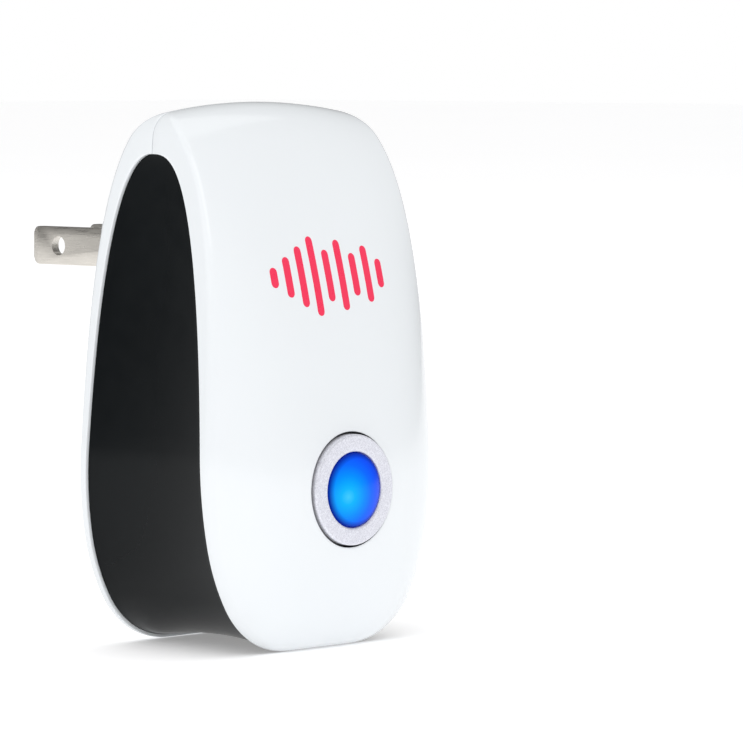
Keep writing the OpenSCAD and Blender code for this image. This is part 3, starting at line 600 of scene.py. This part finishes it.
def shell_edge(bm, face, edge, band, side):
    """The rim, wall and rounded edge of a cover; gives back the last ring."""
    rims = [rim(edge(x, z), band(z)) for x, z, nx, nz in OUTLINE]
    bends = [rounding(edge(x, z)) for x, z, nx, nz in OUTLINE]
    tops = [max(r + SEAM_GAP, edge(x, z) - b) for r, b, (x, z, nx, nz) in zip(rims, bends, OUTLINE)]
    room = [min(RIM_BEVEL, (t - r) * 0.5) for r, t in zip(rims, tops)]
    ring = first_ring(bm, ring_points(WALL, lambda i, x, z: rims[i], side))
    for turn in (0, 30, 60, 90):
        out = math.sin(math.radians(turn))
        back = 1 - math.cos(math.radians(turn))
        points = [at(x + nx * room[i] * (1 - out), side * (rims[i] + room[i] * back),
                     z + nz * room[i] * (1 - out))
                  for i, (x, z, nx, nz) in enumerate(OUTLINE)]
        ring = grow_ring(bm, ring, points)
    for share in (0.25, 0.5, 0.75):
        ring = grow_ring(bm, ring, ring_points(
            0, lambda i, x, z: rims[i] + room[i] + (tops[i] - rims[i] - room[i]) * share, side))
    for angle in EDGE_ANGLES:
        ring = grow_ring(bm, ring, ring_points(
            EDGE_R * (1 - math.cos(angle)),
            lambda i, x, z: max(tops[i], face(x, z) - bends[i] * (1 - math.sin(angle))), side))
    return ring


def toward_circle(inset, step, r, cz, depth, side):
    """The outline moved part of the way to a circle of radius r round the height cz."""
    points = []
    for x, z, nx, nz in OUTLINE:
        p = Vector((x + inset * nx, z + inset * nz))
        spoke = p - Vector((0, cz))
        q = Vector((0, cz)) + spoke.normalized() * r
        p = p.lerp(q, step)
        points.append(at(p.x, side * depth(p.x, p.y), p.y))
    return points


def front_shell(finish):
    """The front cover: domed face, the ring's pocket, and the inside a wall behind them."""
    bm = bmesh.new()
    ring = shell_edge(bm, front_face, front_edge, band_front, -1)
    for step in FACE_STEPS:
        ring = grow_ring(bm, ring, toward_circle(
            EDGE_R, step, POCKET_R + 0.3, BUTTON_Z, front_face, -1))
    for out, back in ((0.14, 0.02), (0.05, 0.07), (0.0, 0.17)):
        ring = grow_ring(bm, ring, toward_circle(
            0, 1, POCKET_R + out, BUTTON_Z, lambda x, z: front_face(x, z) - back, -1))
    for r, depth in ((POCKET_R, RING_FLOOR), (RING_R - RING_BITE, RING_FLOOR),
                     (RING_R - RING_BITE, RING_BACK), (RING_R + SEAT_OUT, RING_BACK)):
        ring = grow_ring(bm, ring, toward_circle(0, 1, r, BUTTON_Z, lambda x, z: depth, -1))
    for step in (1.0, 0.75, 0.5, 0.25, 0.0):
        ring = grow_ring(bm, ring, toward_circle(
            WALL, step, RING_R + SEAT_OUT + 0.15, BUTTON_Z,
            lambda x, z: max(rim(front_edge(x, z), band_front(z)) + SEAM_GAP,
                             front_face(x, z) - WALL), -1))
    bmesh.ops.bridge_loops(bm, edges=[e for e in bm.edges if e.is_boundary])
    bmesh.ops.recalc_face_normals(bm, faces=bm.faces)
    shell = piece_from(bm, "front_shell", "housing", finish["white_plastic"])
    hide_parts("front_cover")
    add_bosses(shell, front_face, -1)
    shell.data.set_sharp_from_angle(angle=math.radians(50))
    painted_pocket_shade(shell, finish)


def painted_pocket_shade(shell, finish):
    """Gives the wall and floor of the ring's pocket the dark plastic finish, a painted shadow in
    the gap round the ring.
    """
    shell.data.materials.append(finish["dark_plastic"])
    centre = at(0, 0, BUTTON_Z)
    for face in shell.data.polygons:
        spoke = face.center - centre
        near = math.hypot(spoke.x, spoke.z) < (POCKET_R + 0.03) * MM
        if near and spoke.y < -(RING_BACK + 0.05) * MM:
            # painted shadow: the pocket's wall and floor take the dark finish
            face.material_index = 1


def rear_shell(finish):
    """The rear cover: face, plug base, bosses, wells and the label's recess."""
    bm = bmesh.new()
    ring = shell_edge(bm, rear_face, rear_face, band_rear, 1)
    hub = 3.0
    for step in FACE_STEPS:
        ring = grow_ring(bm, ring, toward_circle(EDGE_R, step, hub, MIDDLE.y, rear_face, 1))
    close_ring(bm, ring)
    ring = first_ring(bm, toward_circle(
        WALL, 1, hub, MIDDLE.y, lambda x, z: rear_face(x, z) - WALL, 1))
    close_ring(bm, ring)
    for step in (0.75, 0.5, 0.25, 0.0):
        ring = grow_ring(bm, ring, toward_circle(
            WALL, step, hub, MIDDLE.y,
            lambda x, z: max(rim(rear_face(x, z), band_rear(z)) + SEAM_GAP,
                             rear_face(x, z) - WALL), 1))
    bmesh.ops.bridge_loops(bm, edges=[e for e in bm.edges if e.is_boundary])
    bmesh.ops.recalc_face_normals(bm, faces=bm.faces)
    shell = piece_from(bm, "rear_shell", "housing", finish["white_plastic"])
    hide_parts("rear_cover")
    add_bosses(shell, rear_face, 1)
    add_plug_base(shell)
    cut_back(shell)
    shell.data.set_sharp_from_angle(angle=math.radians(40))


def add_bosses(shell, face, side):
    """Joins the four screw bosses to the inside of a cover and bores them."""
    bosses, holes = bmesh.new(), bmesh.new()
    for x, z in SCREWS:
        inside = min(face(x + i * BOSS_R, z + j * BOSS_R)
                     for i in (-1, 1) for j in (-1, 1)) - WALL / 2
        near = -inside if side < 0 else BOSS_END + SEAM_GAP
        far = BOSS_END if side < 0 else inside
        rod(bosses, x, z, near, far, BOSS_R)
        start, end = (BOSS_END - BORE, BOSS_END + 1) if side < 0 else (0, SCREW_SEAT + 1)
        rod(holes, x, z, start, end, SCREW_HOLE_R)
    carve(shell, [cutter(bosses, "bosses")], "UNION")
    carve(shell, [cutter(holes, "holes")])


def add_plug_base(shell):
    """Joins the raised base that carries the blades, with a slot for each."""
    bm = bmesh.new()
    box(bm, 0, PLUG_Z, PLUG_W, PLUG_H, PLUG_START, PLUG_FACE, PLUG_CORNER)
    face_y = at(0, PLUG_FACE, 0).y
    rims = [e for e in bm.edges if all(abs(v.co.y - face_y) < 1e-7 for v in e.verts)]
    round_edges(bm, rims, 0.5, 4)
    carve(shell, [cutter(bm, "plug_base")], "UNION")
    tools = []
    for side in (-1, 1):
        bm = bmesh.new()
        box(bm, side * BLADE_PITCH / 2, PLUG_Z, BLADE_T + SLOT_FIT, BLADE_W + SLOT_FIT,
            PLUG_FACE - 7, PLUG_FACE + 1)
        tools.append(cutter(bm, "blade_slot"))
    carve(shell, tools)


def cut_back(shell):
    """Cuts the screw wells and the label's recess."""
    bm = bmesh.new()
    for x, z in SCREWS:
        rod(bm, x, z, SCREW_SEAT, REAR_D + PAST, WELL_R)
    tools = [cutter(bm, "wells")]
    bm = bmesh.new()
    box(bm, 0, LABEL_Z, LABEL_W + 0.1, LABEL_H + 0.1, LABEL_FLOOR, REAR_D + PAST, LABEL_CORNER)
    tools.append(cutter(bm, "recess"))
    carve(shell, tools)


def lip_rows(side, half, lip, angles):
    """The rounded edge of the band's section, from its face to its side or back."""
    return [(side * (1 - lip / half * (1 - math.cos(t))), BAND_INSET + lip * (1 - math.sin(t)))
            for t in (math.radians(a) for a in angles)]


def band_section(x, z, nx, nz, steps=22):
    """One cross-section of the band at a station of the outline."""
    def limit(depth, own):
        """The band's own depth, kept inside the ridge's rounding."""
        return max(0.02, min(own, depth - rounding(depth) - 2 * SEAM_GAP))
    f = limit(front_edge(x, z), band_front(z))
    b = limit(rear_face(x, z), band_rear(z))
    half = (f + b) / 2
    sag = half * half / (2 * BAND_HOLLOW_R)
    lip = min(BAND_LIP, half * 0.3)
    ends = 1 - lip / half
    inside = BAND_INSET + BAND_THICK + sag
    rows = [(-1, BAND_INSET + lip)] + lip_rows(-1, half, lip, (20, 45, 70))
    rows += [(v, BAND_INSET + sag * (1 - v * v))
             for v in (-ends * (1 - k / steps) + ends * k / steps for k in range(steps + 1))]
    rows += lip_rows(1, half, lip, (70, 45, 20)) + [(1, BAND_INSET + lip)]
    rows += [(1, inside), (0, inside), (-1, inside)]
    return [at(x + d * nx, (b - f) / 2 + v * half, z + d * nz) for v, d in rows]


def band(finish):
    """The black strip between the covers, hollowed along its length, with the sound slots."""
    first = [i for i, s in enumerate(OUTLINE) if abs(s[1] - BAND_TOP) < 0.01]
    stations = OUTLINE[first[1]:] + OUTLINE[:first[0] + 1]
    bm = bmesh.new()
    ring = first_ring(bm, band_section(*stations[0]))
    start = list(ring)
    for station in stations[1:]:
        ring = grow_ring(bm, ring, band_section(*station))
    close_ring(bm, start, fan=False)
    close_ring(bm, ring, fan=False)
    bmesh.ops.recalc_face_normals(bm, faces=bm.faces)
    strip = piece_from(bm, "band_strip", "housing", finish["black_plastic"])
    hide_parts("side_band")
    tools = []
    for i in range(SOUND_SLOTS):
        bm = bmesh.new()
        made = bmesh.ops.create_cube(bm, size=1)["verts"]
        bmesh.ops.scale(bm, verts=made, vec=Vector(SLOT_SIZE) * MM)
        bmesh.ops.translate(bm, verts=made, vec=at((i - (SOUND_SLOTS - 1) / 2) * SLOT_PITCH, 0, 0))
        uprights = [e for e in bm.edges if abs(e.verts[0].co.z - e.verts[1].co.z) > 5 * MM]
        round_edges(bm, uprights, SLOT_CORNER, 5)
        tools.append(cutter(bm, "slot"))
    carve(strip, tools)
    strip.data.set_sharp_from_angle(angle=math.radians(40))


# ------------------------------------------------- ring and lens
def turned(name, profile, body, material, sharp=35):
    """A closed solid of revolution round the button's axis from (radius, depth) points."""
    bm = bmesh.new()
    verts = [bm.verts.new(at(r, -d, BUTTON_Z)) for r, d in profile]
    for a, b in zip(verts, verts[1:]):
        bm.edges.new((a, b))
    if profile[0][0] > 0.001:
        bm.edges.new((verts[-1], verts[0]))
    bmesh.ops.spin(bm, geom=bm.verts[:] + bm.edges[:], cent=at(0, 0, BUTTON_Z), axis=(0, 1, 0),
                   angle=2 * math.pi, steps=128, use_merge=True)
    bmesh.ops.remove_doubles(bm, verts=bm.verts, dist=1e-7)
    bmesh.ops.recalc_face_normals(bm, faces=bm.faces)
    return piece_from(bm, name, body, material, sharp)


def arc_profile(centre, r, a, b, n):
    """Profile points along an arc, from a to b degrees."""
    turns = [math.radians(a + (b - a) * i / n) for i in range(n + 1)]
    return [(centre[0] + r * math.cos(t), centre[1] + r * math.sin(t)) for t in turns]


def ring_piece(finish):
    """The flat ring with rounded edges, its inner lip and the skirt behind it."""
    bore, skirt, bend = LENS_R + 0.2, RING_R - SKIRT_IN, 0.32
    skirt_end = RING_BACK - SKIRT_GAP
    profile = (arc_profile((RING_R - bend, RING_FACE - bend), bend, 0, 90, 6)
               + [(r, RING_FACE) for r in (8.5, 8.0, 7.5, 7.0)]
               + arc_profile((bore + bend, RING_FACE - bend), bend, 90, 180, 6)
               + [(bore, RING_LIP), (LENS_R + 0.95, RING_LIP), (LENS_R + 0.95, skirt_end),
                  (skirt, skirt_end), (skirt, RING_FLOOR), (RING_R, RING_FLOOR)])
    ring = turned("ring", profile, "housing", finish["ring_silver"])
    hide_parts("trim_ring")


def lens_piece(finish):
    """The lens: a shallow dome, a flange under the ring's lip and the stem to the switch."""
    sphere = (LENS_R ** 2 + LENS_RISE ** 2) / (2 * LENS_RISE)
    top = RING_FACE + LENS_RISE
    edge, flange = 0.25, RING_LIP - 0.05
    shell_r, under, stem_r, stem_end = LENS_R - 1.3, RING_FACE - 1.3, 1.6, 7.1
    dome = [(r, top - sphere + math.sqrt(sphere ** 2 - r * r))
            for r in [(LENS_R - edge) * i / 22 for i in range(23)]]
    last = dome[-1][1]
    profile = (dome + [(LENS_R - 0.1, last - 0.07), (LENS_R - 0.02, last - 0.2),
                       (LENS_R, last - 0.4), (LENS_R, flange), (LENS_R + 0.75, flange),
                       (LENS_R + 0.75, flange - 1), (shell_r, flange - 1), (shell_r, under),
                       (stem_r, under), (stem_r, stem_end), (0, stem_end)])
    lens = turned("lens", profile, "button", finish["lens_blue"], 40)
    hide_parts("lens_button")


# ------------------------------------------------- blades, mark and label
def blade_piece(side, finish):
    """A flat blade with a bevelled round tip, soft edges and a round hole."""
    name, node = ("blade_line", "line_blade") if side < 0 else ("blade_neutral", "neutral_blade")
    tip = PLUG_FACE + BLADE_LEN
    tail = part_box(node)[0].y / MM - SEAM_Y
    x = side * BLADE_PITCH / 2
    bm = bmesh.new()
    half = BLADE_W / 2
    shape = [(-NECK_HALF, tail), (-NECK_HALF, SHOULDER), (-half, SHOULDER), (-half, tip - TIP_R)]
    shape += [(-half + TIP_R - TIP_R * math.cos(a), tip - TIP_R + TIP_R * math.sin(a))
              for a in (math.radians(t) for t in range(15, 91, 15))]
    shape += [(-z, y) for z, y in reversed(shape)]
    face = bm.faces.new([bm.verts.new(at(x - BLADE_T / 2, y, PLUG_Z + z)) for z, y in shape])
    made = bmesh.ops.extrude_face_region(bm, geom=[face])["geom"]
    bmesh.ops.translate(bm, verts=[g for g in made if isinstance(g, bmesh.types.BMVert)],
                        vec=Vector((BLADE_T * MM, 0, 0)))
    bmesh.ops.recalc_face_normals(bm, faces=bm.faces)
    for back in (TIP_TAPER, TIP_TAPER * 2 / 3, TIP_TAPER / 3):
        bmesh.ops.bisect_plane(bm, geom=bm.verts[:] + bm.edges[:] + bm.faces[:],
                               plane_co=at(0, tip - back, 0), plane_no=(0, 1, 0))
    start = at(0, tip - TIP_TAPER, 0).y
    for v in bm.verts:
        if v.co.y > start:
            thin = 1 - TIP_THIN * ((v.co.y - start) / (TIP_TAPER * MM)) ** TIP_CURVE
            v.co.x = x * MM + (v.co.x - x * MM) * thin
    rims = [e for e in bm.edges if e.calc_face_angle(0) > math.radians(50)
            and abs(e.verts[0].co.x - e.verts[1].co.x) < 0.5 * MM]
    round_edges(bm, rims, 0.16, 3)
    blade = piece_from(bm, name, "housing", finish["blade_nickel"])
    bm = bmesh.new()
    made = bmesh.ops.create_cone(bm, cap_ends=True, segments=64, radius1=HOLE_R * MM,
                                 radius2=HOLE_R * MM, depth=8 * MM)["verts"]
    bmesh.ops.rotate(bm, verts=made, matrix=Matrix.Rotation(math.pi / 2, 3, "Y"))
    bmesh.ops.translate(bm, verts=made, vec=at(x, PLUG_FACE + HOLE_OUT, PLUG_Z))
    carve(blade, [cutter(bm, "hole")])
    blade.data.set_sharp_from_angle(angle=math.radians(35))
    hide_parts(node)


def mark(finish):
    """A plain row of sound bars printed on the dome."""
    bm = bmesh.new()
    for i, h in enumerate(BAR_HEIGHTS):
        cx = (i - (len(BAR_HEIGHTS) - 1) / 2) * BAR_PITCH + BAR_SHIFT
        bar = bmesh.ops.create_grid(bm, x_segments=5, y_segments=26, size=1)["verts"]
        for v in bar:
            high = math.sin(v.co.y * math.pi / 2) * h / 2
            end = min(BAR_W / 2, h / 2 - abs(high))
            half = math.sqrt(max(1e-4, (BAR_W / 2) ** 2 - (BAR_W / 2 - end) ** 2))
            x, z = cx + v.co.x * half, BAR_Z + high
            v.co = at(x, -(front_face(x, z) + 0.6 * INK), z)
    bmesh.ops.recalc_face_normals(bm, faces=bm.faces)
    inward = [f for f in bm.faces if f.normal.y > 0]
    bmesh.ops.reverse_faces(bm, faces=inward)
    bmesh.ops.solidify(bm, geom=bm.faces[:], thickness=INK * MM)
    piece_from(bm, "sound_bars", "housing", finish["mark"])


def label(finish):
    """The blank label in its recess."""
    bm = bmesh.new()
    box(bm, 0, LABEL_Z, LABEL_W, LABEL_H, LABEL_FLOOR, LABEL_FLOOR + LABEL_T, LABEL_CORNER)
    halfway = at(0, LABEL_FLOOR + LABEL_T / 2, 0).y
    edges = [e for e in bm.edges if all(v.co.y > halfway for v in e.verts)]
    round_edges(bm, edges, 0.06, 2)
    plate = piece_from(bm, "blank_label", "housing", finish["label_silver"])
    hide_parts("rating_label")


# ------------------------------------------------- scene
def stage_floor():
    """A plain pale floor, just under the part."""
    bm = bmesh.new()
    bmesh.ops.create_grid(bm, x_segments=2, y_segments=2, size=6)
    mesh = bpy.data.meshes.new("floor")
    bm.to_mesh(mesh)
    bm.free()
    floor = bpy.data.objects.new("floor", mesh)
    bpy.context.scene.collection.objects.link(floor)
    floor.location.z = -0.0001
    paint = Paint("floor_white", (0.93, 0.93, 0.935), 0.85)
    tones = [(0.3, (0.925, 0.925, 0.93)), (0.7, (0.935, 0.935, 0.94))]
    paint.into(paint.ramp(paint.noise(3, 2), tones), "Base Color")
    paint.value("Specular IOR Level", 0.1)
    paint.value("Emission Color", (1, 1, 1, 1))
    paint.value("Emission Strength", 0.28)
    mesh.materials.append(paint.mat)


def lamp(name, place, size, power):
    """A soft rectangular light that faces the middle of the part."""
    data = bpy.data.lights.new(name, "AREA")
    data.shape = "RECTANGLE"
    data.size, data.size_y = size
    data.energy = power
    obj = bpy.data.objects.new(name, data)
    obj.location = place
    obj.rotation_euler = (Vector((0, 0, 0.04)) - Vector(place)).to_track_quat("-Z", "Y").to_euler()
    bpy.context.scene.collection.objects.link(obj)


def world_level(tree, ray, otherwise, level):
    """The world's strength for one kind of ray, and its strength for all others."""
    node = tree.nodes.new("ShaderNodeMapRange")
    node.inputs["To Max"].default_value = level
    if isinstance(otherwise, float):
        node.inputs["To Min"].default_value = otherwise
    else:
        tree.links.new(otherwise, node.inputs["To Min"])
    tree.links.new(ray, node.inputs["Value"])
    return node.outputs["Result"]


def studio():
    """A white surround, dimmer in reflections, and three soft lights."""
    world = bpy.data.worlds.new("studio")
    bpy.context.scene.world = world
    world.use_nodes = True
    tree = world.node_tree
    back = tree.nodes["Background"]
    back.inputs["Color"].default_value = (1, 1, 1, 1)
    rays = tree.nodes.new("ShaderNodeLightPath")
    seen = world_level(tree, rays.outputs["Is Camera Ray"], 0.78, 1.0)
    level = world_level(tree, rays.outputs["Is Glossy Ray"], seen, 0.2)
    tree.links.new(level, back.inputs["Strength"])
    lamp("key", (-0.75, -1.2, 1.05), (1.2, 1.0), 5)
    lamp("left_fill", (-1.35, -0.1, 0.75), (1.0, 1.0), 1.6)
    lamp("top", (0.1, 0.1, 1.5), (1.8, 1.8), 6.5)
    bpy.context.scene.view_settings.view_transform = "Standard"


def camera():
    """A long lens from the front left, a little above the middle."""
    data = bpy.data.cameras.new("camera")
    data.sensor_width = 36
    data.lens = 238.385
    cam = bpy.data.objects.new("camera", data)
    cam.location = at(-564.44, -564.94, 96.27)
    aim = at(27.965, 0, 42.467)
    cam.rotation_euler = (aim - cam.location).to_track_quat("-Z", "Y").to_euler()
    bpy.context.scene.collection.objects.link(cam)
    bpy.context.scene.camera = cam


camera()
studio()
stage_floor()
finishes = paints()
finishes["mark"] = printed_red()
dress_nodes(finishes)
front_shell(finishes)
rear_shell(finishes)
band(finishes)
ring_piece(finishes)
lens_piece(finishes)
for way in (-1, 1):
    blade_piece(way, finishes)
mark(finishes)
label(finishes)
